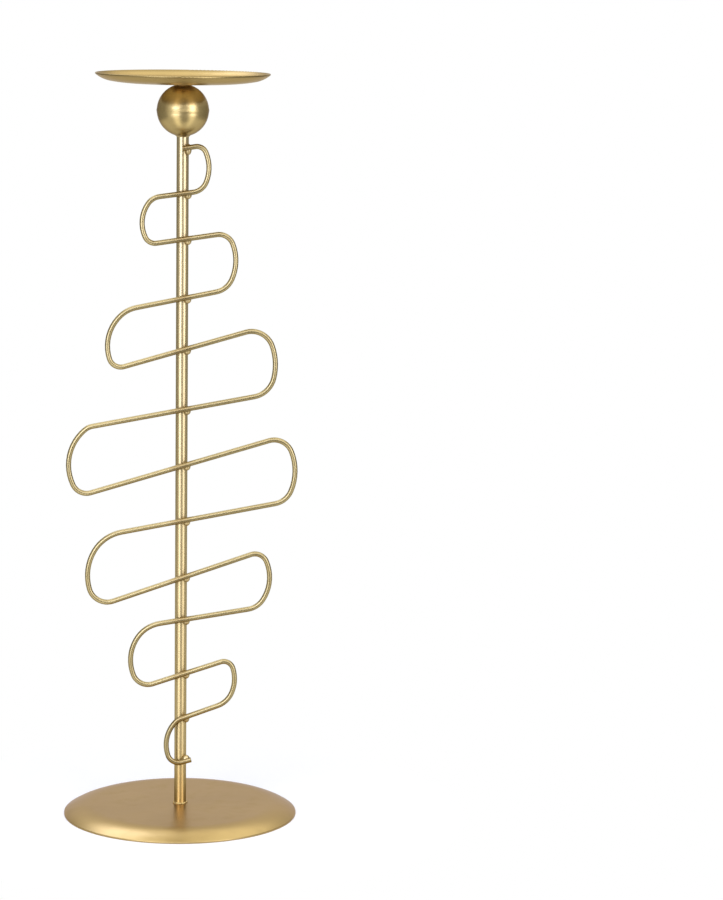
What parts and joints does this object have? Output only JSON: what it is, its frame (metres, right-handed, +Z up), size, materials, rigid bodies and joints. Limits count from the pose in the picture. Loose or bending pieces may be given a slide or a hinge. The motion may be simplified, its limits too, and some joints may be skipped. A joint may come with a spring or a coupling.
{
  "type": "pillar candle holder",
  "caption": "Tall free-standing pillar candle holder: round base, slim stem with a flat serpentine wire across it, ball and shallow dish.",
  "frame": {"origin": "middle of the base's underside, on the surface that the holder stands on", "axes": "+Z up along the stem; the wire lies in front of the stem, towards -Y; +X is the viewer's right"},
  "size_m": [0.1364, 0.1364, 0.4339],
  "materials": {
    "base_finish": "satin antique gold plating, softly brushed",
    "stem_finish": "satin light gold plating",
    "wire_finish": "satin light gold plating",
    "ball_finish": "satin antique gold plating",
    "dish_finish": "satin gold plating, warmer inside",
    "weld_finish": "rough weld metal under the same gold plating"
  },
  "bodies": {
    "root": {"base_plate": "base_finish", "stem_tube": "stem_finish", "foot_weld": "weld_finish", "serpentine_wire": "wire_finish", "crossing_welds": "weld_finish", "wire_top_weld": "weld_finish", "wire_foot_weld": "weld_finish", "ball_lower_half": "ball_finish", "ball_upper_half": "ball_finish", "ball_seam_weld": "weld_finish", "ball_neck_weld": "weld_finish", "candle_dish": "dish_finish", "dish_weld": "weld_finish"}
  },
  "joints": []
}
